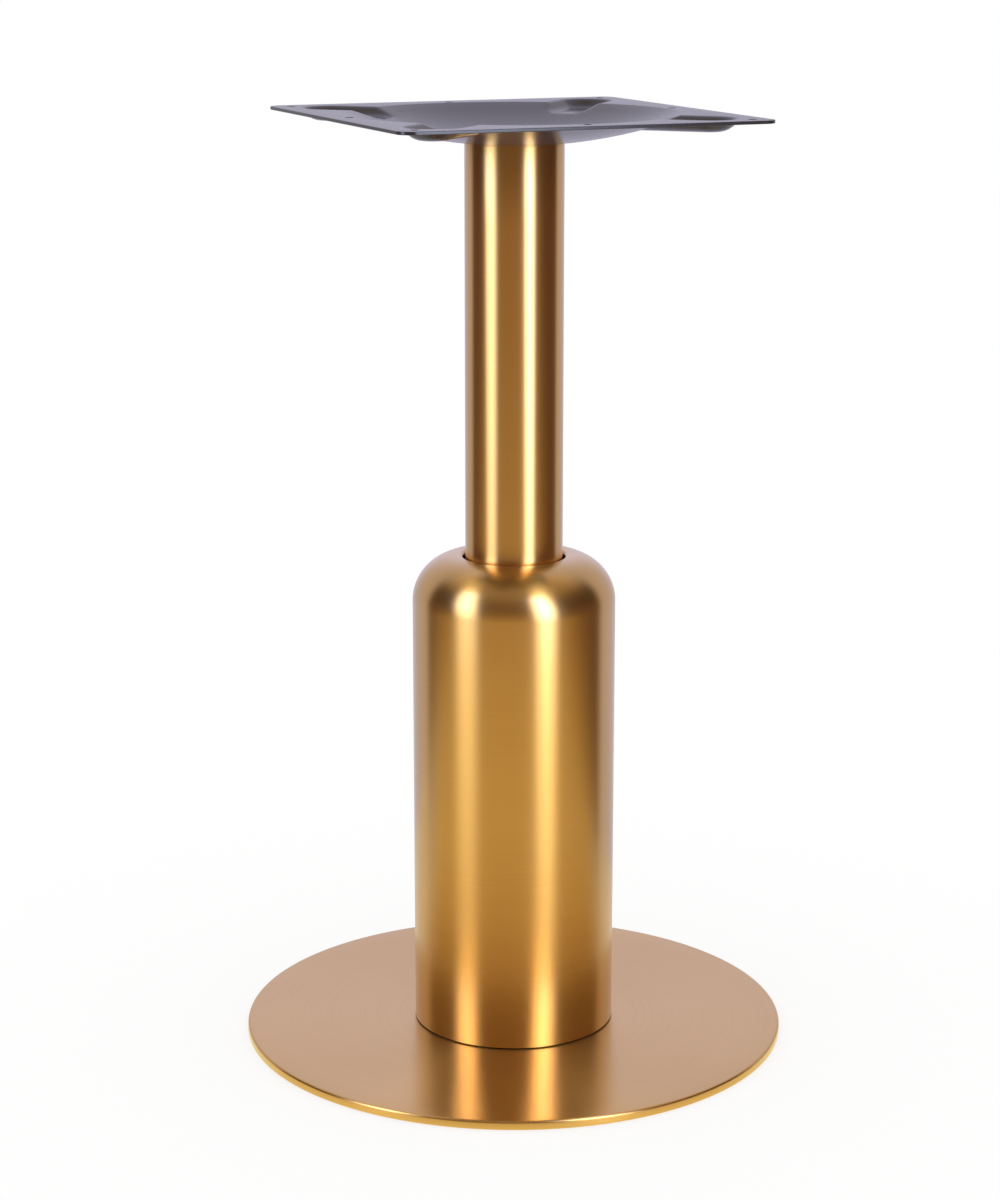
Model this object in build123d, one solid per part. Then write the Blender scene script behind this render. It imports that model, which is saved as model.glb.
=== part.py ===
from build123d import *
import math
import os

# Pedestal table base: a round floor disc, a wide bottle-shouldered sleeve, a slim column and a
# pressed square plate that the table top is screwed to. One threaded rod clamps the stack together.
# Millimetres, +Z up. The origin is on the floor under the column's axis, plate edges along X and Y.

# Overall
total_height = 730.0

# Floor pads under the disc
pad_count = 6
pad_diameter = 25.0
pad_thickness = 0.6
pad_edge_radius = 0.2
pad_inset = 24.0  # from the disc's edge to a pad's centre

# Floor disc
disc_diameter = 430.0
disc_thickness = 7.0
disc_top_radius = 2.0
disc_foot_radius = 0.8

# Spigot welded to the disc inside the column's foot, tapped for the rod
spigot_height = 24.0
spigot_lead = 2.0
tapping_chamfer = 1.0

# Column tube
tube_diameter = 76.0
tube_wall = 1.5
bore_clearance = 0.15  # each side, for the spigot and the end plate in the tube

# End plate welded flush in the column's top
end_plate_thickness = 6.0

# Threaded rod
rod_diameter = 10.0
rod_grip = 20.0  # length screwed into the spigot
rod_stand_out = 0.5  # past the nut
rod_end_chamfer = 0.9
thread_clearance = 0.05  # each side, in the spigot and the nut
rod_clearance = 0.5  # each side, through the end plate, the top plate and the washer

# Sleeve round the column's lower half
sleeve_diameter = 159.0
sleeve_wall = 1.2
sleeve_height = 381.4
sleeve_foot_radius = 0.8  # round the outside of the cut edge
neck_gap = 2.0  # between the column and the sleeve's turned-in lip
lip_inner_radius = 1.3
lip_depth = 3.8
crown_flat = 1.0  # level ring between the shoulder and the lip

# Pressed top plate
plate_side = 295.0
plate_sheet = 2.5
press_bend = 8.0  # on the upper face, at the rims of the dish and the troughs
plate_corner_radius = 12.0
plate_edge_radius = 0.5  # sheared edge, deburred on both faces
plate_hole_diameter = 6.5
plate_hole_inset = 15.5  # from the plate's edge to a hole's centre

# Round dish pressed into the plate, with a level seat over the column
dish_rim_land = 21.5  # level rim from the plate's edge to the dish
dish_depth = 19.0
dish_seat_bend = 24.0
seat_margin = 4.0  # past the column's outside

# Four troughs pressed from the dish towards the plate's corners
trough_width = 42.0
trough_depth = 7.2
trough_wall_angle = 40.0
trough_floor_bend = 14.0
trough_land = 9.0  # level sheet between a trough's end and the corner hole
trough_count = 4

# Washer and nut in the dish
washer_diameter = 20.0
washer_thickness = 2.0
nut_across_flats = 17.0
nut_height = 5.0  # thin nut
nut_chamfer_angle = 30.0
nut_bore_chamfer = 0.7
nut_sides = 6

# Levels and radii that follow from the sizes above
disc_radius = disc_diameter / 2
disc_top = pad_thickness + disc_thickness
tube_radius = tube_diameter / 2
bore_radius = tube_radius - tube_wall
rod_radius = rod_diameter / 2
rod_hole_radius = rod_radius + rod_clearance
thread_hole_radius = rod_radius + thread_clearance
seat_level = total_height - dish_depth
column_top = seat_level - plate_sheet
nut_foot = seat_level + washer_thickness
nut_top = nut_foot + nut_height
hole_reach = plate_side / 2 - plate_hole_inset
drill_length = 4 * plate_sheet
top_round_limit = 0.6 * disc_thickness
foot_round_limit = 0.2 * disc_thickness
sleeve_round_limit = 0.8 * sleeve_wall
plate_round_limit = 0.3 * plate_sheet
pad_round_limit = 0.5 * pad_thickness
edge_tolerance = 0.01


def rounded(profile, corner, radius):
    nearest = profile.vertices().sort_by_distance(Vector(*corner))[0]
    return fillet(nearest, radius)


def turned(outline, rounds=()):
    # Solid of revolution about Z from (radius, height) corners, with some corners rounded.
    profile = Polygon(*outline, align=None)
    for corner, radius in rounds:
        profile = rounded(profile, corner, radius)
    return revolve(Plane.XZ * profile, Axis.Z)


def ring(inner, outer, low, high):
    return turned([(inner, low), (outer, low), (outer, high), (inner, high)])


def make_pad(index):
    angle = 360 / pad_count * (index + 0.5)
    rim = (pad_diameter / 2, 0)
    outline = [(0, 0), rim, (pad_diameter / 2, pad_thickness), (0, pad_thickness)]
    pad = turned(outline, [(rim, min(pad_edge_radius, pad_round_limit))])
    return Rot(0, 0, angle) * Pos(disc_radius - pad_inset, 0, 0) * pad


def make_disc():
    foot = (disc_radius, pad_thickness)
    edge = (disc_radius, disc_top)
    top_round = min(disc_top_radius, top_round_limit)
    foot_round = min(disc_foot_radius, foot_round_limit)
    outline = [(0, pad_thickness), foot, edge, (0, disc_top)]
    return turned(outline, [(foot, foot_round), (edge, top_round)])


def make_spigot():
    radius = bore_radius - bore_clearance
    top = disc_top + spigot_height
    outline = [
        (thread_hole_radius, disc_top),
        (radius, disc_top),
        (radius, top - spigot_lead),
        (radius - spigot_lead, top),
        (thread_hole_radius + tapping_chamfer, top),
        (thread_hole_radius, top - tapping_chamfer),
    ]
    return turned(outline)


def make_tube():
    return ring(bore_radius, tube_radius, disc_top, column_top)


def make_end_plate():
    return ring(rod_hole_radius, bore_radius - bore_clearance, column_top - end_plate_thickness, column_top)


def make_rod():
    foot = disc_top + spigot_height - rod_grip
    top = nut_top + rod_stand_out
    tip = rod_radius - rod_end_chamfer
    outline = [
        (0, foot),
        (tip, foot),
        (rod_radius, foot + rod_end_chamfer),
        (rod_radius, top - rod_end_chamfer),
        (tip, top),
        (0, top),
    ]
    return turned(outline)


def make_sleeve():
    outside = sleeve_diameter / 2
    inside = outside - sleeve_wall
    neck = tube_radius + neck_gap
    crown = disc_top + sleeve_height
    lip_radius = lip_inner_radius + sleeve_wall
    shoulder = outside - neck - lip_radius - crown_flat
    under_crown = crown - sleeve_wall
    lip_foot = crown - lip_depth
    outline = [
        (outside, disc_top),
        (outside, crown),
        (neck, crown),
        (neck, lip_foot),
        (neck + sleeve_wall, lip_foot),
        (neck + sleeve_wall, under_crown),
        (inside, under_crown),
        (inside, disc_top),
    ]
    rounds = [
        ((outside, disc_top), min(sleeve_foot_radius, sleeve_round_limit)),
        ((outside, crown), shoulder),
        ((neck, crown), lip_radius),
        ((neck + sleeve_wall, under_crown), lip_inner_radius),
        ((inside, under_crown), shoulder - sleeve_wall),
    ]
    return turned(outline, rounds)


def dish_tool(grown, top):
    # The hollow of the dish, with its face moved outwards by grown.
    rim_radius = plate_side / 2 - dish_rim_land
    seat_radius = tube_radius + seat_margin
    centre = (rim_radius**2 - seat_radius**2 - dish_depth**2) / (2 * dish_depth)
    sphere = math.hypot(rim_radius, centre) + grown
    floor = -dish_depth - grown
    mouth = (math.sqrt(sphere**2 - (centre - top) ** 2), top)
    seat = (math.sqrt(sphere**2 - (centre - floor) ** 2), floor)
    wall = RadiusArc(seat, mouth, -sphere)
    border = Polyline(mouth, (0, top), (0, floor), seat)
    profile = rounded(make_face(wall + border), seat, dish_seat_bend + grown)
    return revolve(Plane.XZ * profile, Axis.Z)


def trough_tool(grown, top):
    # The hollow of one trough, along +Y from the axis to its rounded end.
    slope = math.radians(trough_wall_angle)
    half_width = trough_width / 2 + grown * math.tan(slope / 2)
    mouth = (half_width + (top + grown) / math.tan(slope), top)
    floor = (half_width - trough_depth / math.tan(slope), -trough_depth - grown)
    section = Polygon((0, top), mouth, floor, (0, floor[1]), align=None)
    profile = Plane.XZ * rounded(section, floor, trough_floor_bend + grown)
    corner_hole = math.sqrt(2) * hole_reach
    end_centre = corner_hole - plate_hole_diameter / 2 - trough_land - trough_width / 2
    half_run = extrude(profile, end_centre, dir=(0, -1, 0))
    run = half_run + mirror(half_run, Plane.YZ)
    return Pos(0, end_centre, 0) * (run + revolve(profile, Axis.Z))


def bend_edges(tool, grown):
    # The rim round the dish and the troughs, and the ridges where the troughs run into the dish.
    level_face = [face for face in tool.faces().filter_by(GeomType.PLANE) if face.inner_wires()][0]
    rim = level_face.inner_wires()[0].edges()
    highest = -grown - edge_tolerance
    lowest = -grown - trough_depth - edge_tolerance
    dish_edges = tool.faces().filter_by(GeomType.SPHERE).edges()
    ridges = [edge for edge in dish_edges if lowest < edge.bounding_box().min.Z < highest]
    return set(rim + ridges)


def pressing_tool(grown):
    # The space above the sheet's upper face, or above its lower face when grown by the sheet.
    hollow_top = plate_sheet
    block_top = 2 * plate_sheet
    hollows = dish_tool(grown, hollow_top)
    trough = trough_tool(grown, hollow_top)
    for index in range(trough_count):
        hollows += Rot(0, 0, 360 / trough_count * (index + 0.5)) * trough
    square = RectangleRounded(plate_side, plate_side, plate_corner_radius)
    tool = extrude(Pos(0, 0, -grown) * square, block_top + grown) + hollows
    return fillet(bend_edges(tool, grown), press_bend - grown)


def plate_holes():
    # Four holes at the corners and four at the middles of the sides.
    drill = Cylinder(plate_hole_diameter / 2, drill_length)
    steps = (-hole_reach, 0, hole_reach)
    spots = [(x, y) for x in steps for y in steps if x or y]
    return [Pos(x, y, 0) * drill for x, y in spots]


def sheared_edges(plate):
    # The outer edges of the rim, on both faces.
    level_faces = [face for face in plate.faces().filter_by(Axis.Z) if face.inner_wires()]
    return [edge for face in level_faces for edge in face.outer_wire().edges()]


def make_plate():
    plate = pressing_tool(plate_sheet) - pressing_tool(0)
    plate = fillet(sheared_edges(plate), min(plate_edge_radius, plate_round_limit))
    for drill in plate_holes():
        plate -= drill
    seat_drill = Cylinder(rod_hole_radius, drill_length)
    plate -= Pos(0, 0, -dish_depth) * seat_drill
    return Pos(0, 0, total_height) * plate


def make_washer():
    return ring(rod_hole_radius, washer_diameter / 2, seat_level, nut_foot)


def make_nut():
    across_corners = nut_across_flats / math.cos(math.pi / nut_sides)
    hexagon = RegularPolygon(across_corners / 2, nut_sides)
    blank = Pos(0, 0, nut_foot) * extrude(hexagon, nut_height)
    flat = nut_across_flats / 2
    drop = (across_corners / 2 - flat) * math.tan(math.radians(nut_chamfer_angle))
    outline = [
        (thread_hole_radius, nut_foot + nut_bore_chamfer),
        (thread_hole_radius + nut_bore_chamfer, nut_foot),
        (flat, nut_foot),
        (across_corners / 2, nut_foot + drop),
        (across_corners / 2, nut_top - drop),
        (flat, nut_top),
        (thread_hole_radius + nut_bore_chamfer, nut_top),
        (thread_hole_radius, nut_top - nut_bore_chamfer),
    ]
    return blank & turned(outline)


def all_parts():
    parts = {
        "base_disc": make_disc(),
        "base_spigot": make_spigot(),
        "column_tube": make_tube(),
        "column_end_plate": make_end_plate(),
        "tie_rod": make_rod(),
        "sleeve": make_sleeve(),
        "top_plate": make_plate(),
        "rod_washer": make_washer(),
        "rod_nut": make_nut(),
    }
    for index in range(pad_count):
        parts[f"floor_pad_{index + 1}"] = make_pad(index)
    return parts


os.makedirs("parts", exist_ok=True)
for name, solid in all_parts().items():
    export_step(solid, f"parts/{name}.step")
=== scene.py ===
import math
import bmesh
import bpy
from mathutils import Euler, Matrix, Vector


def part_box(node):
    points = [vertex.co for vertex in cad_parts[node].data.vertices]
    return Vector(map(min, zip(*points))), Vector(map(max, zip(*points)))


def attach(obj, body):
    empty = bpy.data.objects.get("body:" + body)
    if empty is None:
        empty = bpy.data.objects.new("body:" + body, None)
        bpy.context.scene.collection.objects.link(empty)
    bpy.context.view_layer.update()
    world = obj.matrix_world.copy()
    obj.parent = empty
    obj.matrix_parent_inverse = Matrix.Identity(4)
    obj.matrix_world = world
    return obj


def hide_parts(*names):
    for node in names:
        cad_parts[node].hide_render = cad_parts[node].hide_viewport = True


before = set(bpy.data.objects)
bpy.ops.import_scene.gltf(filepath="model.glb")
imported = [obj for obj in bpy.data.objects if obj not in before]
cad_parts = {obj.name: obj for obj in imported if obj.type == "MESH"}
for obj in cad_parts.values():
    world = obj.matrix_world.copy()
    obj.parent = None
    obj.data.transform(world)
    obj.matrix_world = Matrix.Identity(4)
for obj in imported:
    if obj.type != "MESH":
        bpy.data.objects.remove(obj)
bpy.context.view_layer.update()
mm = 0.001
weld = 0.001 * mm  # points closer than this are one
noiseLow, noiseHigh = 0.3, 0.7  # where nearly all of a noise pattern lies
print("frame loaded with", len(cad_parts), "nodes")


def toLinear(hexColour):
    # sRGB hex to the linear colour that shader sockets take
    channels = [int(hexColour[i:i + 2], 16) / 255 for i in (0, 2, 4)]
    linear = [c / 12.92 if c <= 0.04045 else ((c + 0.055) / 1.055) ** 2.4 for c in channels]
    return (*linear, 1.0)


def addNode(tree, kind, inputs=None, **options):
    # one node with its options, its inputs set or linked
    node = tree.nodes.new("ShaderNode" + kind)
    for option, value in options.items():
        setattr(node, option, value)
    for socket, value in (inputs or {}).items():
        if isinstance(value, bpy.types.NodeSocket):
            tree.links.new(value, node.inputs[socket])
        else:
            node.inputs[socket].default_value = value
    return node


def newFinish(name):
    finish = bpy.data.materials.new(name)
    finish.use_nodes = True
    finish.node_tree.nodes.clear()
    return finish, finish.node_tree


# Brass-coloured steel, ground round its axis with fine grit and sealed with a satin lacquer.
# Lights stay sharp round the axis and smear along the profile, and the lacquer pales it at a glance.
brassLook = dict(
    colour="e6b45f",
    deepColour="dba650",
    roughness=(0.274, 0.296),
    anisotropy=0.9,
    coat=1.0,
    coatIndex=1.7,
    coatRoughness=0.22,
    streakLength=200 * mm,
    streakPitch=0.7 * mm,  # real scratches are finer than a pixel, so they are drawn this coarse
    scratchDepth=0.0005 * mm,
    cloudSize=70 * mm,
)


def brushedBrass(name, look):
    finish, tree = newFinish(name)
    place = addNode(tree, "TexCoord").outputs["Object"]
    lay = addNode(tree, "UVMap", uv_map="brush").outputs["UV"]
    around = addNode(tree, "SeparateXYZ", {"Vector": place})
    along = addNode(tree, "SeparateXYZ", {"Vector": lay})
    grain = addNode(tree, "CombineXYZ", {
        "X": around.outputs["X"], "Y": around.outputs["Y"], "Z": along.outputs["X"]})
    stretch = (1 / look["streakLength"], 1 / look["streakLength"], 1 / look["streakPitch"])
    drawn = addNode(tree, "VectorMath", {0: grain.outputs["Vector"], 1: stretch}, operation="MULTIPLY")
    streaks = addNode(tree, "TexNoise", {
        "Vector": drawn.outputs["Vector"], "Scale": 1.0, "Detail": 1.0, "Roughness": 0.5})
    clouds = addNode(tree, "TexNoise", {"Vector": place, "Scale": 1 / look["cloudSize"], "Detail": 2.0})
    tone = addNode(tree, "Math", {0: streaks.outputs["Fac"], 1: clouds.outputs["Fac"]}, operation="MULTIPLY")
    colour = addNode(tree, "Mix", {
        0: tone.outputs["Value"], 6: toLinear(look["colour"]), 7: toLinear(look["deepColour"])},
        data_type="RGBA")
    low, high = look["roughness"]
    roughness = addNode(tree, "MapRange", {
        "Value": streaks.outputs["Fac"],
        "From Min": noiseLow, "From Max": noiseHigh, "To Min": low, "To Max": high})
    scratches = addNode(tree, "Bump", {
        "Height": streaks.outputs["Fac"], "Strength": 1.0, "Distance": look["scratchDepth"]})
    tangent = addNode(tree, "Tangent", direction_type="UV_MAP", uv_map="brush")
    metal = addNode(tree, "BsdfPrincipled", {
        "Base Color": colour.outputs[2],
        "Metallic": 1.0,
        "Roughness": roughness.outputs["Result"],
        "Anisotropic": look["anisotropy"],
        "Tangent": tangent.outputs["Tangent"],
        "Normal": scratches.outputs["Normal"],
        "Coat Weight": look["coat"],
        "Coat IOR": look["coatIndex"],
        "Coat Roughness": look["coatRoughness"],
    })
    addNode(tree, "OutputMaterial", {"Surface": metal.outputs["BSDF"]})
    return finish


# Black powder coat on pressed steel: semi-gloss, with the faint orange peel of melted powder.
coatLook = dict(
    colour="2f2b32",
    paleColour="38343b",
    roughness=(0.17, 0.23),
    peelSize=2.2 * mm,
    peelDepth=0.02 * mm,
    speckSize=0.8 * mm,
)


def blackPowderCoat(look):
    finish, tree = newFinish("black powder coat")
    place = addNode(tree, "TexCoord").outputs["Object"]
    peel = addNode(tree, "TexNoise", {"Vector": place, "Scale": 1 / look["peelSize"], "Detail": 2.0})
    specks = addNode(tree, "TexNoise", {"Vector": place, "Scale": 1 / look["speckSize"], "Detail": 1.0})
    colour = addNode(tree, "Mix", {
        0: specks.outputs["Fac"], 6: toLinear(look["colour"]), 7: toLinear(look["paleColour"])},
        data_type="RGBA")
    low, high = look["roughness"]
    roughness = addNode(tree, "MapRange", {
        "Value": peel.outputs["Fac"],
        "From Min": noiseLow, "From Max": noiseHigh, "To Min": low, "To Max": high})
    bumps = addNode(tree, "Bump", {
        "Height": peel.outputs["Fac"], "Strength": 1.0, "Distance": look["peelDepth"]})
    paint = addNode(tree, "BsdfPrincipled", {
        "Base Color": colour.outputs[2],
        "Roughness": roughness.outputs["Result"],
        "IOR": 1.5,
        "Normal": bumps.outputs["Normal"],
    })
    addNode(tree, "OutputMaterial", {"Surface": paint.outputs["BSDF"]})
    return finish


# Steel turned on a lathe and left bare: grey, with fine tool marks across the face.
# Bright zinc plate: paler, bluish and smoother, with a cloudy bloom.
def bareMetal(name, colour, paleColour, roughness, markSize):
    finish, tree = newFinish(name)
    place = addNode(tree, "TexCoord").outputs["Object"]
    bloom = addNode(tree, "TexNoise", {"Vector": place, "Scale": 1 / markSize, "Detail": 3.0})
    tint = addNode(tree, "Mix", {
        0: bloom.outputs["Fac"], 6: toLinear(colour), 7: toLinear(paleColour)}, data_type="RGBA")
    low, high = roughness
    spread = addNode(tree, "MapRange", {
        "Value": bloom.outputs["Fac"],
        "From Min": noiseLow, "From Max": noiseHigh, "To Min": low, "To Max": high})
    metal = addNode(tree, "BsdfPrincipled", {
        "Base Color": tint.outputs[2], "Metallic": 1.0, "Roughness": spread.outputs["Result"]})
    addNode(tree, "OutputMaterial", {"Surface": metal.outputs["BSDF"]})
    return finish


# Moulded rubber: matt black with a fine spark-eroded grain.
def mouldedRubber(colour, paleColour, grainSize, grainDepth):
    finish, tree = newFinish("moulded rubber")
    place = addNode(tree, "TexCoord").outputs["Object"]
    grain = addNode(tree, "TexNoise", {"Vector": place, "Scale": 1 / grainSize, "Detail": 2.0})
    tint = addNode(tree, "Mix", {
        0: grain.outputs["Fac"], 6: toLinear(colour), 7: toLinear(paleColour)}, data_type="RGBA")
    bumps = addNode(tree, "Bump", {"Height": grain.outputs["Fac"], "Strength": 1.0, "Distance": grainDepth})
    rubber = addNode(tree, "BsdfPrincipled", {
        "Base Color": tint.outputs[2], "Roughness": 0.8, "Normal": bumps.outputs["Normal"]})
    addNode(tree, "OutputMaterial", {"Surface": rubber.outputs["BSDF"]})
    return finish


brass = brushedBrass("brushed brass", brassLook)
powderCoat = blackPowderCoat(coatLook)
turnedSteel = bareMetal("turned steel", "8f9092", "a7a8aa", (0.38, 0.5), 3 * mm)
zincPlate = bareMetal("zinc plated steel", "b4b8bf", "cfd2d6", (0.26, 0.36), 6 * mm)
# near-black metal used as painted shade: the shade line where the sleeve stands on the disc, and the shade
# inside the plate's screw holes
paintedShadeMetal = bareMetal("painted shade metal", "1c1510", "2a2018", (0.55, 0.7), 3 * mm)
rubber = mouldedRubber("161616", "202020", 0.8 * mm, 0.05 * mm)
print("finishes made:", len(bpy.data.materials))


def walkProfile(start):
    # the profile's vertices in order, from one of them
    ordered = [start]
    edge = start.link_edges[0]
    while edge:
        point = edge.other_vert(ordered[-1])
        if point is start:
            break
        ordered.append(point)
        edge = next((e for e in point.link_edges if e is not edge), None)
    return ordered


def lifted(values, period):
    # values of one face, with those past the seam brought up beside the rest
    top = max(values)
    return [value + period if top - value > period / 2 else value for value in values]


longEdge = 30 * mm  # straight runs longer than this are cut into rings


def turnedMesh(corners, rounds, closed=True, steps=256, rings=1):
    # (radius, height) corners joined into a profile, some corners rounded, spun once round the axis
    bm = bmesh.new()
    along = bm.verts.layers.float.new("along")
    points = [bm.verts.new((radius, 0, height)) for radius, height in corners]
    ends = points[1:] + points[:1] if closed else points[1:]
    for pair in zip(points, ends):
        bm.edges.new(pair)
    for index, (radius, segments) in rounds.items():
        bmesh.ops.bevel(bm, geom=[points[index]], offset=radius, segments=segments, profile=0.5,
                        affect="VERTICES", material=-1)
    if rings > 1:
        longEdges = [edge for edge in bm.edges if edge.calc_length() > longEdge]
        bmesh.ops.subdivide_edges(bm, edges=longEdges, cuts=rings - 1)
    first = Vector((corners[0][0], 0, corners[0][1]))
    start = min(bm.verts, key=lambda vert: (vert.co - first).length)
    length = 0.0
    previous = start
    for point in walkProfile(start):
        length += (point.co - previous.co).length
        point[along] = length
        previous = point
    length += (start.co - previous.co).length
    bmesh.ops.spin(bm, geom=bm.verts[:] + bm.edges[:], cent=(0, 0, 0), axis=(0, 0, 1), angle=math.tau,
                   steps=steps, use_merge=True)
    bmesh.ops.remove_doubles(bm, verts=bm.verts[:], dist=weld)
    bmesh.ops.recalc_face_normals(bm, faces=bm.faces[:])
    brush = bm.loops.layers.uv.new("brush")
    reach = max(radius for radius, height in corners)
    for face in bm.faces:
        lengths = lifted([loop.vert[along] for loop in face.loops], length)
        turns = lifted([math.atan2(loop.vert.co.y, loop.vert.co.x) for loop in face.loops], math.tau)
        for loop, u, turn in zip(face.loops, lengths, turns):
            loop[brush].uv = (u, turn * reach)
    bm.verts.layers.float.remove(along)
    return bm


def placePiece(name, bm, finish, node, sharpAngle=35):
    mesh = bpy.data.meshes.new(name)
    bm.to_mesh(mesh)
    bm.free()
    mesh.shade_smooth()
    mesh.set_sharp_from_angle(angle=math.radians(sharpAngle))
    mesh.materials.append(finish)
    piece = bpy.data.objects.new(name, mesh)
    bpy.context.scene.collection.objects.link(piece)
    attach(piece, "root")
    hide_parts(node)
    print(name, "has", len(mesh.polygons), "faces")
    return piece


# Floor disc: flat plate with a rounded top edge
discShape = dict(topRadius=2 * mm, footRadius=0.8 * mm, rings=12)


def makeDisc(shape):
    low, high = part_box("base_disc")
    edge = high.x
    corners = [(0, high.z), (edge, high.z), (edge, low.z), (0, low.z)]
    rounds = {1: (shape["topRadius"], 10), 2: (shape["footRadius"], 4)}
    bm = turnedMesh(corners, rounds, closed=False, rings=shape["rings"])
    placePiece("floorDisc", bm, brass, "base_disc")


# Sleeve: drawn tube with a bottle shoulder, the edge turned in at the neck and the foot edge painted dark as
# the shade line where it stands on the disc
sleeveShape = dict(wall=1.2 * mm, neckGap=2 * mm, lipRadius=1.3 * mm, lipDepth=3.8 * mm, crownFlat=1 * mm,
                   footRound=1.1 * mm, rings=8)


def makeSleeve(shape):
    low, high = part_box("sleeve")
    wall = shape["wall"]
    outside = high.x
    inside = outside - wall
    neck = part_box("column_tube")[1].x + shape["neckGap"]
    lipFoot = high.z - shape["lipDepth"]
    lipOuter = shape["lipRadius"] + wall
    shoulder = outside - neck - lipOuter - shape["crownFlat"]
    underCrown = high.z - wall
    corners = [
        (inside, low.z), (outside, low.z), (outside, high.z), (neck, high.z),
        (neck, lipFoot), (neck + wall, lipFoot), (neck + wall, underCrown), (inside, underCrown)]
    rounds = {
        1: (shape["footRound"], 4),
        2: (shoulder, 40),
        3: (lipOuter, 10),
        6: (shape["lipRadius"], 6),
        7: (shoulder - wall, 24)}
    bm = turnedMesh(corners, rounds, rings=shape["rings"])
    # faces of the foot round get the near-black finish: painted shade where the sleeve meets the disc
    for face in bm.faces:
        if face.calc_center_median().z < low.z + shape["footRound"]:
            face.material_index = 1
    sleeve = placePiece("shoulderedSleeve", bm, brass, "sleeve")
    sleeve.data.materials.append(paintedShadeMetal)


# Column: plain round tube
columnShape = dict(wall=1.5 * mm, endRound=0.3 * mm, rings=12)


def makeColumn(shape):
    low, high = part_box("column_tube")
    outside = high.x
    inside = outside - shape["wall"]
    corners = [(inside, low.z), (outside, low.z), (outside, high.z), (inside, high.z)]
    rounds = {1: (shape["endRound"], 2), 2: (shape["endRound"], 2)}
    bm = turnedMesh(corners, rounds, rings=shape["rings"])
    placePiece("columnTube", bm, brass, "column_tube")


# Pressed plate: the imported sheet, its loose triangles merged so that the press bends shade smoothly,
# with the walls of its punched screw holes painted dark as the shade inside them
plateShape = dict(mergeDistance=0.002 * mm, sharpAngle=40, holeReach=132 * mm, holeRadius=3.25 * mm)


def makePlate(shape):
    bm = bmesh.new()
    bm.from_mesh(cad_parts["top_plate"].data)
    bmesh.ops.remove_doubles(bm, verts=bm.verts[:], dist=shape["mergeDistance"])
    reach = shape["holeReach"]
    holes = [Vector((x, y)) for x in (-reach, 0, reach) for y in (-reach, 0, reach) if x or y]
    # hole wall faces get the near-black finish: painted shade inside the holes
    for face in bm.faces:
        middle = face.calc_center_median().xy
        if min((middle - hole).length for hole in holes) < shape["holeRadius"]:
            face.material_index = 1
    plate = placePiece("pressedPlate", bm, powderCoat, "top_plate", shape["sharpAngle"])
    plate.data.materials.append(paintedShadeMetal)


# Washer: punched ring, its edges rounded over by the punch
washerShape = dict(hole=5.5 * mm, edgeRound=0.35 * mm)


def makeWasher(shape):
    low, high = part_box("rod_washer")
    hole, rim = shape["hole"], high.x
    corners = [(hole, low.z), (rim, low.z), (rim, high.z), (hole, high.z)]
    rounds = {index: (shape["edgeRound"], 3) for index in range(4)}
    bm = turnedMesh(corners, rounds, steps=96)
    placePiece("rodWasher", bm, zincPlate, "rod_washer")


# Nut: hexagon with both faces chamfered, so that each flat ends in a shallow arc
nutShape = dict(bore=4.6 * mm, boreChamfer=0.7 * mm, chamferAngle=30, sides=6, stepsPerSide=16)


def makeNut(shape):
    low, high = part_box("rod_nut")
    flat = high.y
    corner = high.x
    drop = (corner - flat) * math.tan(math.radians(shape["chamferAngle"]))
    bore = shape["bore"]
    wide = bore + shape["boreChamfer"]
    corners = [
        (wide, low.z), (flat, low.z), (corner, low.z + drop), (corner, high.z - drop), (flat, high.z),
        (wide, high.z), (bore, high.z - shape["boreChamfer"]), (bore, low.z + shape["boreChamfer"])]
    bm = turnedMesh(corners, {}, steps=shape["sides"] * shape["stepsPerSide"])
    sector = math.tau / shape["sides"]
    for vert in bm.verts:
        radius = vert.co.xy.length
        if radius < corner - 0.01 * mm:
            continue
        turn = math.atan2(vert.co.y, vert.co.x) % sector - sector / 2
        hexRadius = flat / math.cos(turn)
        slope = (corner - hexRadius) / (corner - flat) * drop
        vert.co.xy *= hexRadius / radius
        vert.co.z += slope if vert.co.z > (low.z + high.z) / 2 else -slope
    bmesh.ops.remove_doubles(bm, verts=bm.verts[:], dist=weld)  # the arcs meet the faces at mid-flat
    placePiece("rodNut", bm, zincPlate, "rod_nut", sharpAngle=20)


# Tie rod: plain shank with a thread cut at each end
threadShape = dict(pitch=1.5 * mm, depth=0.92 * mm, crest=0.19 * mm, root=0.37 * mm, steps=24,
                   shankSteps=48, chamfer=0.9 * mm, mergeDistance=0.01 * mm,
                   topLength=32 * mm, footLength=22 * mm, runOut=0.5 * mm)


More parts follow.
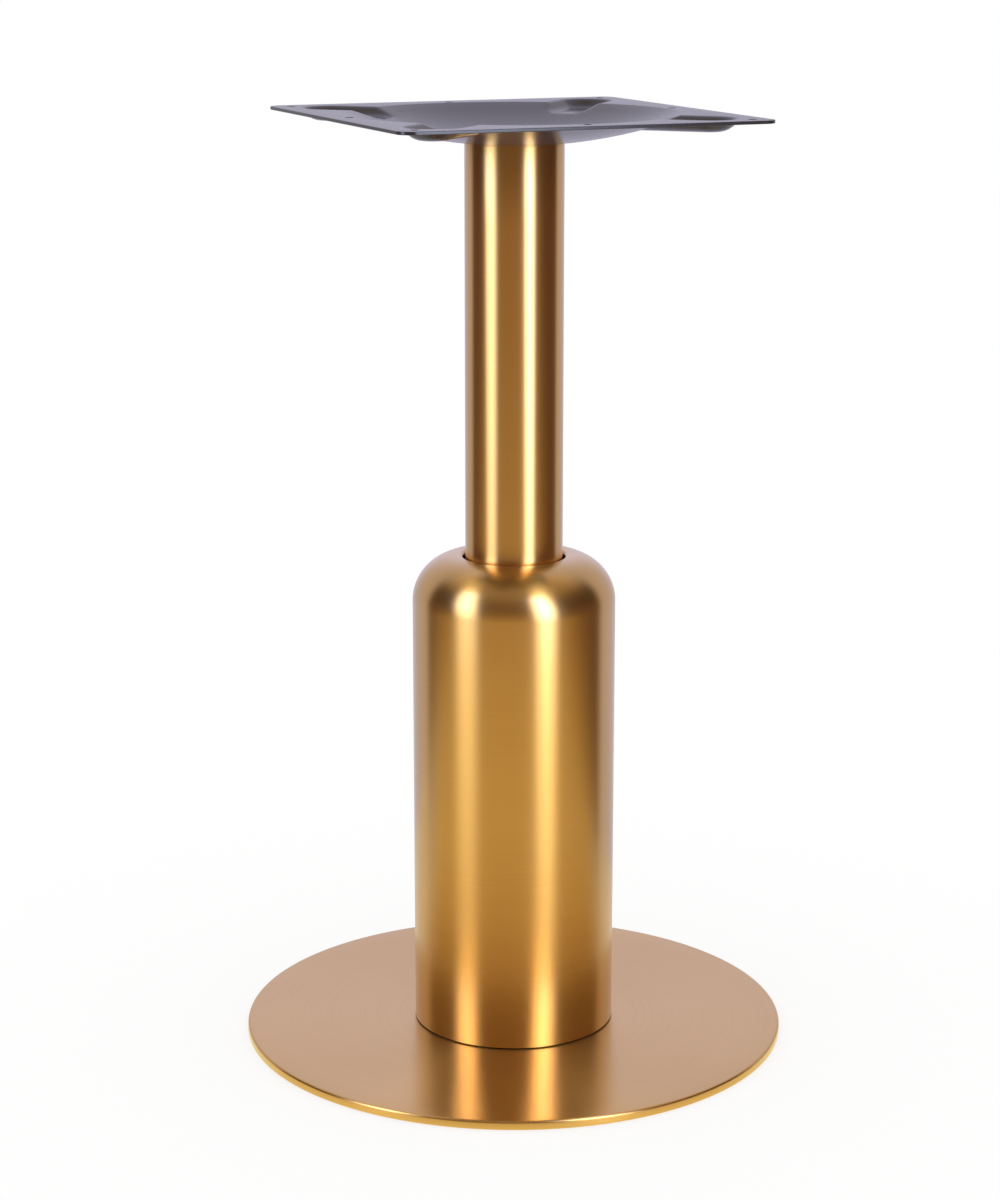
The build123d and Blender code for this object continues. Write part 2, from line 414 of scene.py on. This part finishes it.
def cutThread(shape, crest, low, high, freeEnd):
    # thread between two heights: one turn's profile spun as a helix, both ends cut level, the free one closed
    root = crest - shape["depth"]
    pitch = shape["pitch"]
    flank = (pitch - shape["crest"] - shape["root"]) / 2
    heights = [0, shape["root"], shape["root"] + flank, pitch - flank, pitch]
    radii = [root, root, crest, crest, root]
    bm = bmesh.new()
    points = [bm.verts.new((radius, 0, low - pitch + height)) for radius, height in zip(radii, heights)]
    for pair in zip(points, points[1:]):
        bm.edges.new(pair)
    turns = math.ceil((high - low) / pitch) + 2
    bmesh.ops.spin(bm, geom=bm.verts[:] + bm.edges[:], cent=(0, 0, 0), axis=(0, 0, 1), angle=math.tau * turns,
                   steps=shape["steps"] * turns, dvec=(0, 0, pitch / shape["steps"]), use_merge=False)
    bmesh.ops.remove_doubles(bm, verts=bm.verts[:], dist=shape["mergeDistance"])
    for height, side in ((low, -1), (high, 1)):
        bmesh.ops.bisect_plane(bm, geom=bm.verts[:] + bm.edges[:] + bm.faces[:], plane_co=(0, 0, height),
                               plane_no=(0, 0, side), clear_outer=True)
    bmesh.ops.remove_doubles(bm, verts=bm.verts[:], dist=shape["mergeDistance"])
    rim = [edge for edge in bm.edges
           if edge.is_boundary and abs(edge.verts[0].co.z - freeEnd) < shape["runOut"]]
    bmesh.ops.holes_fill(bm, edges=rim)
    length = bpy.data.meshes.new("thread")
    bm.to_mesh(length)
    bm.free()
    return length


def makeRod(shape):
    low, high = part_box("tie_rod")
    crest = high.x
    shankLow = low.z + shape["footLength"]
    shankHigh = high.z - shape["topLength"]
    shank = crest - shape["depth"] / 2
    runOut = shape["runOut"]
    bm = turnedMesh([(shank, shankHigh - runOut), (shank, shankLow + runOut)], {}, closed=False,
                    steps=shape["shankSteps"])
    for foot, top, freeEnd in ((low.z, shankLow, low.z), (shankHigh, high.z, high.z)):
        thread = cutThread(shape, crest, foot, top, freeEnd)
        bm.from_mesh(thread)
        bpy.data.meshes.remove(thread)
    for height in (shankLow, shankHigh):
        # the thread runs out into the shank
        rims = [edge for edge in bm.edges
                if edge.is_boundary and abs(edge.verts[0].co.z - height) < 2 * runOut]
        bmesh.ops.bridge_loops(bm, edges=rims)
    bmesh.ops.recalc_face_normals(bm, faces=bm.faces[:])
    for vert in bm.verts:
        fromEnd = min(vert.co.z - low.z, high.z - vert.co.z)
        allowed = crest - max(0.0, shape["chamfer"] - fromEnd)
        radius = vert.co.xy.length
        if radius > allowed:
            vert.co.xy *= allowed / radius
    placePiece("tieRod", bm, zincPlate, "tie_rod", sharpAngle=25)


makeDisc(discShape)
makeSleeve(sleeveShape)
makeColumn(columnShape)
makePlate(plateShape)
makeWasher(washerShape)
makeNut(nutShape)
makeRod(threadShape)

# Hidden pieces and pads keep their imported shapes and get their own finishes
carriedOver = {"base_spigot": turnedSteel, "column_end_plate": turnedSteel}
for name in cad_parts:
    if name.startswith("floor_pad"):
        carriedOver[name] = rubber
for name, finish in carriedOver.items():
    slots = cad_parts[name].data.materials
    slots.clear()
    slots.append(finish)
print("carried over:", ", ".join(sorted(carriedOver)))

# Camera where the photograph was taken from, looking down a little
shot = dict(lens=84.5, distance=2.147, aside=-0.0188, height=0.878, heading=22.7, swing=0.21, down=13.76)


def makeCamera(shot):
    turn = math.radians(shot["heading"])
    ahead = Vector((math.sin(turn), math.cos(turn), 0))
    right = Vector((math.cos(turn), -math.sin(turn), 0))
    lens = bpy.data.cameras.new("shot")
    lens.lens = shot["lens"]
    lens.clip_start = 0.1
    lens.clip_end = 50
    camera = bpy.data.objects.new("shot", lens)
    camera.location = right * shot["aside"] - ahead * shot["distance"] + Vector((0, 0, shot["height"]))
    camera.rotation_euler = (math.radians(90 - shot["down"]), 0, -turn - math.radians(shot["swing"]))
    bpy.context.scene.collection.objects.link(camera)
    bpy.context.scene.camera = camera


makeCamera(shot)

# Studio: plain white to the camera; reflections see a pale sweep behind and a dark room in front and aside
studio = dict(
    white="ffffff",
    sweep="dcd8ee",
    sweepEdge="c1bcc4",
    ceilingBack="e6d6c4",
    ceilingFront="a8937a",
    darkRoom="523b2c",
    horizon="8f6d4a",
    sideRoom="66452e",
    sideHigh="351f12",
    fill=0.95,
    sweepFrom=0.30, sweepTo=0.50,
    sweepCentre=0.0, sweepRim=0.5,
    ceilingFrom=0.48, ceilingTo=0.82,
    frontFrom=0.05, backTo=0.45,
    sideFrom=-0.72, sideTo=-0.30,
    horizonFrom=-0.02, horizonTo=0.22,
)


def makeWorld(studio, shot):
    world = bpy.data.worlds.new("studio")
    bpy.context.scene.world = world
    world.use_nodes = True
    tree = world.node_tree
    tree.nodes.clear()
    toward = addNode(tree, "TexCoord").outputs["Generated"]
    turned = addNode(tree, "Mapping", {"Vector": toward, "Rotation": (0, 0, math.radians(shot["heading"]))},
                     vector_type="POINT")
    parts = addNode(tree, "SeparateXYZ", {"Vector": turned.outputs["Vector"]})
    sweep = addNode(tree, "MapRange", {
        "Value": parts.outputs["Y"], "From Min": studio["sweepFrom"], "From Max": studio["sweepTo"]},
        interpolation_type="SMOOTHSTEP")
    offCentre = addNode(tree, "Math", {0: parts.outputs["X"]}, operation="ABSOLUTE")
    rim = addNode(tree, "MapRange", {
        "Value": offCentre.outputs["Value"],
        "From Min": studio["sweepCentre"], "From Max": studio["sweepRim"]})
    sides = addNode(tree, "MapRange", {
        "Value": parts.outputs["Y"], "From Min": studio["sideFrom"], "From Max": studio["sideTo"]},
        interpolation_type="SMOOTHSTEP")
    overhead = addNode(tree, "MapRange", {
        "Value": parts.outputs["Z"], "From Min": studio["ceilingFrom"], "From Max": studio["ceilingTo"]},
        interpolation_type="SMOOTHSTEP")
    level = addNode(tree, "MapRange", {
        "Value": parts.outputs["Z"], "From Min": studio["horizonFrom"], "From Max": studio["horizonTo"]},
        interpolation_type="SMOOTHSTEP")
    front = addNode(tree, "Mix", {
        0: level.outputs["Result"], 6: toLinear(studio["horizon"]), 7: toLinear(studio["darkRoom"])},
        data_type="RGBA")
    flanks = addNode(tree, "Mix", {
        0: level.outputs["Result"], 6: toLinear(studio["sideRoom"]), 7: toLinear(studio["sideHigh"])},
        data_type="RGBA")
    walls = addNode(tree, "Mix", {
        0: sides.outputs["Result"], 6: front.outputs[2], 7: flanks.outputs[2]}, data_type="RGBA")
    behind = addNode(tree, "MapRange", {
        "Value": parts.outputs["Y"], "From Min": studio["frontFrom"], "From Max": studio["backTo"]})
    ceiling = addNode(tree, "Mix", {
        0: behind.outputs["Result"], 6: toLinear(studio["ceilingFront"]), 7: toLinear(studio["ceilingBack"])},
        data_type="RGBA")
    room = addNode(tree, "Mix", {
        0: overhead.outputs["Result"], 6: walls.outputs[2], 7: ceiling.outputs[2]}, data_type="RGBA")
    paper = addNode(tree, "Mix", {
        0: rim.outputs["Result"], 6: toLinear(studio["sweep"]), 7: toLinear(studio["sweepEdge"])},
        data_type="RGBA")
    around = addNode(tree, "Mix", {
        0: sweep.outputs["Result"], 6: room.outputs[2], 7: paper.outputs[2]}, data_type="RGBA")
    seen = addNode(tree, "Background", {"Color": toLinear(studio["white"]), "Strength": 1.0})
    mirrored = addNode(tree, "Background", {"Color": around.outputs[2], "Strength": 1.0})
    soft = addNode(tree, "Background", {"Color": toLinear(studio["white"]), "Strength": studio["fill"]})
    path = addNode(tree, "LightPath")
    lit = addNode(tree, "MixShader", {
        0: path.outputs["Is Glossy Ray"], 1: soft.outputs["Background"], 2: mirrored.outputs["Background"]})
    clear = addNode(tree, "Math", {
        0: path.outputs["Is Camera Ray"], 1: path.outputs["Is Transmission Ray"]}, operation="MAXIMUM")
    both = addNode(tree, "MixShader", {
        0: clear.outputs["Value"], 1: lit.outputs["Shader"], 2: seen.outputs["Background"]})
    addNode(tree, "OutputWorld", {"Surface": both.outputs["Shader"]})


makeWorld(studio, shot)

# Softboxes: turn is from the camera's side of the column, minus to the left
softboxes = dict(
    left=dict(turn=-58, roll=-11, distance=1.5, low=-0.1, high=2.0, width=1.05, edge=0.45,
              radiance=(2.8, 5.5)),
    right=dict(turn=34, roll=-4, distance=1.5, low=-0.1, high=2.0, width=0.95, edge=0.5,
               radiance=(6.0, 8.5)),
)
clothLook = dict(colour="dfe6ff", riseFrom=0.2, riseTo=0.4)


def makeSoftbox(name, box, cloth, heading):
    # lit cloth seen only in reflections, dimmer towards its side edges and at its foot
    finish, tree = newFinish(name + " softbox cloth")
    spot = addNode(tree, "SeparateXYZ", {"Vector": addNode(tree, "TexCoord").outputs["Generated"]})
    aside = addNode(tree, "Math", {0: spot.outputs["X"], 1: 0.5}, operation="SUBTRACT")
    toEdge = addNode(tree, "Math", {0: aside.outputs["Value"]}, operation="ABSOLUTE")
    fade = addNode(tree, "MapRange", {
        "Value": toEdge.outputs["Value"],
        "From Min": 0.5 - box["edge"], "From Max": 0.5, "To Min": 1.0, "To Max": 0.0},
        interpolation_type="SMOOTHSTEP")
    foot, head = box["radiance"]
    rise = addNode(tree, "MapRange", {
        "Value": spot.outputs["Y"],
        "From Min": cloth["riseFrom"], "From Max": cloth["riseTo"], "To Min": foot, "To Max": head})
    level = addNode(tree, "Math", {
        0: fade.outputs["Result"], 1: rise.outputs["Result"]}, operation="MULTIPLY")
    glow = addNode(tree, "Emission", {"Color": toLinear(cloth["colour"]), "Strength": level.outputs["Value"]})
    addNode(tree, "OutputMaterial", {"Surface": glow.outputs["Emission"]})
    bm = bmesh.new()
    bmesh.ops.create_grid(bm, x_segments=1, y_segments=1, size=0.5)
    bmesh.ops.scale(bm, verts=bm.verts[:], vec=(box["width"], box["high"] - box["low"], 1))
    mesh = bpy.data.meshes.new(name + "Softbox")
    bm.to_mesh(mesh)
    bm.free()
    mesh.materials.append(finish)
    softbox = bpy.data.objects.new(name + "Softbox", mesh)
    turn = math.radians(box["turn"] - heading)
    away = Vector((math.sin(turn), -math.cos(turn), 0))
    softbox.location = away * box["distance"] + Vector((0, 0, (box["low"] + box["high"]) / 2))
    softbox.rotation_euler = (math.radians(90), math.radians(box["roll"]), turn)
    softbox.visible_camera = False
    softbox.visible_diffuse = False
    softbox.visible_shadow = False
    bpy.context.scene.collection.objects.link(softbox)


for name, box in softboxes.items():
    makeSoftbox(name, box, clothLook, shot["heading"])

# Pale floor: white to the camera, with the soft shadow kept
floorLook = dict(size=6.0, colour="9a9a9a", glow=0.7)


def makeFloor(look):
    finish, tree = newFinish("pale floor")
    path = addNode(tree, "LightPath")
    seen = addNode(tree, "Math", {0: path.outputs["Is Camera Ray"], 1: look["glow"]}, operation="MULTIPLY")
    glow = addNode(tree, "Emission", {"Color": toLinear("ffffff"), "Strength": seen.outputs["Value"]})
    matt = addNode(tree, "BsdfDiffuse", {"Color": toLinear(look["colour"])})
    both = addNode(tree, "AddShader", {0: glow.outputs["Emission"], 1: matt.outputs["BSDF"]})
    addNode(tree, "OutputMaterial", {"Surface": both.outputs["Shader"]})
    bm = bmesh.new()
    bmesh.ops.create_grid(bm, x_segments=2, y_segments=2, size=look["size"])
    mesh = bpy.data.meshes.new("paleFloor")
    bm.to_mesh(mesh)
    bm.free()
    mesh.materials.append(finish)
    floor = bpy.data.objects.new("paleFloor", mesh)
    floor.visible_glossy = False
    floor.visible_shadow = False
    bpy.context.scene.collection.objects.link(floor)


makeFloor(floorLook)

# Lit patch of floor in front of the base, seen only in reflections
patchLook = dict(wide=1.45, deep=2.2, nearer=1.75, aside=-0.2, drop=1 * mm,
                 # ring colours by distance from the axis: a bright band right by the disc, then a painted
                 # shadow round the base, then full and dimmer floor light
                 rings={0.234: "f6eebc", 0.246: "9e6f3a", 0.55: "f3de99", 0.75: "f3de99", 1.6: "a1866f"},
                 backTint="dcd2bc", backFrom=0.04, backTo=-0.12)


def makeFloorPatch(look, heading):
    finish, tree = newFinish("lit floor")
    turn = math.radians(heading)
    nearer = Vector((-math.sin(turn), -math.cos(turn), 0))
    place = addNode(tree, "TexCoord").outputs["Object"]
    away = addNode(tree, "VectorMath", {0: place}, operation="LENGTH")
    reach = max(look["rings"])
    share = addNode(tree, "Math", {0: away.outputs["Value"], 1: reach}, operation="DIVIDE")
    colour = addNode(tree, "ValToRGB", {"Fac": share.outputs["Value"]})
    stops = colour.color_ramp.elements
    for stop, (radius, tint) in enumerate(look["rings"].items()):
        if stop >= len(stops):
            stops.new(1.0)
        stops[stop].position = radius / reach
        stops[stop].color = toLinear(tint)
    # behind the object the floor is paler and greyer
    front = addNode(tree, "VectorMath", {0: place, 1: nearer}, operation="DOT_PRODUCT")
    behind = addNode(tree, "MapRange", {
        "Value": front.outputs["Value"], "From Min": look["backFrom"], "From Max": look["backTo"],
        "To Min": 0.0, "To Max": 1.0})
    tint = addNode(tree, "Mix", {
        0: behind.outputs["Result"], 6: colour.outputs["Color"], 7: toLinear(look["backTint"])},
        data_type="RGBA")
    glow = addNode(tree, "Emission", {"Color": tint.outputs[2], "Strength": 1.0})
    addNode(tree, "OutputMaterial", {"Surface": glow.outputs["Emission"]})
    bm = bmesh.new()
    right = Vector((math.cos(turn), -math.sin(turn), 0))
    centre = nearer * look["nearer"] + right * look["aside"] - Vector((0, 0, look["drop"]))
    lay = Matrix.LocRotScale(centre, Euler((0, 0, -turn)), Vector((look["wide"], look["deep"], 1)))
    bmesh.ops.create_circle(bm, cap_ends=True, radius=1.0, segments=64, matrix=lay)
    mesh = bpy.data.meshes.new("litFloor")
    bm.to_mesh(mesh)
    bm.free()
    mesh.materials.append(finish)
    patch = bpy.data.objects.new("litFloor", mesh)
    patch.visible_camera = False
    patch.visible_diffuse = False
    patch.visible_shadow = False
    bpy.context.scene.collection.objects.link(patch)


makeFloorPatch(patchLook, shot["heading"])
bpy.context.scene.view_settings.view_transform = "Standard"
print("studio set")
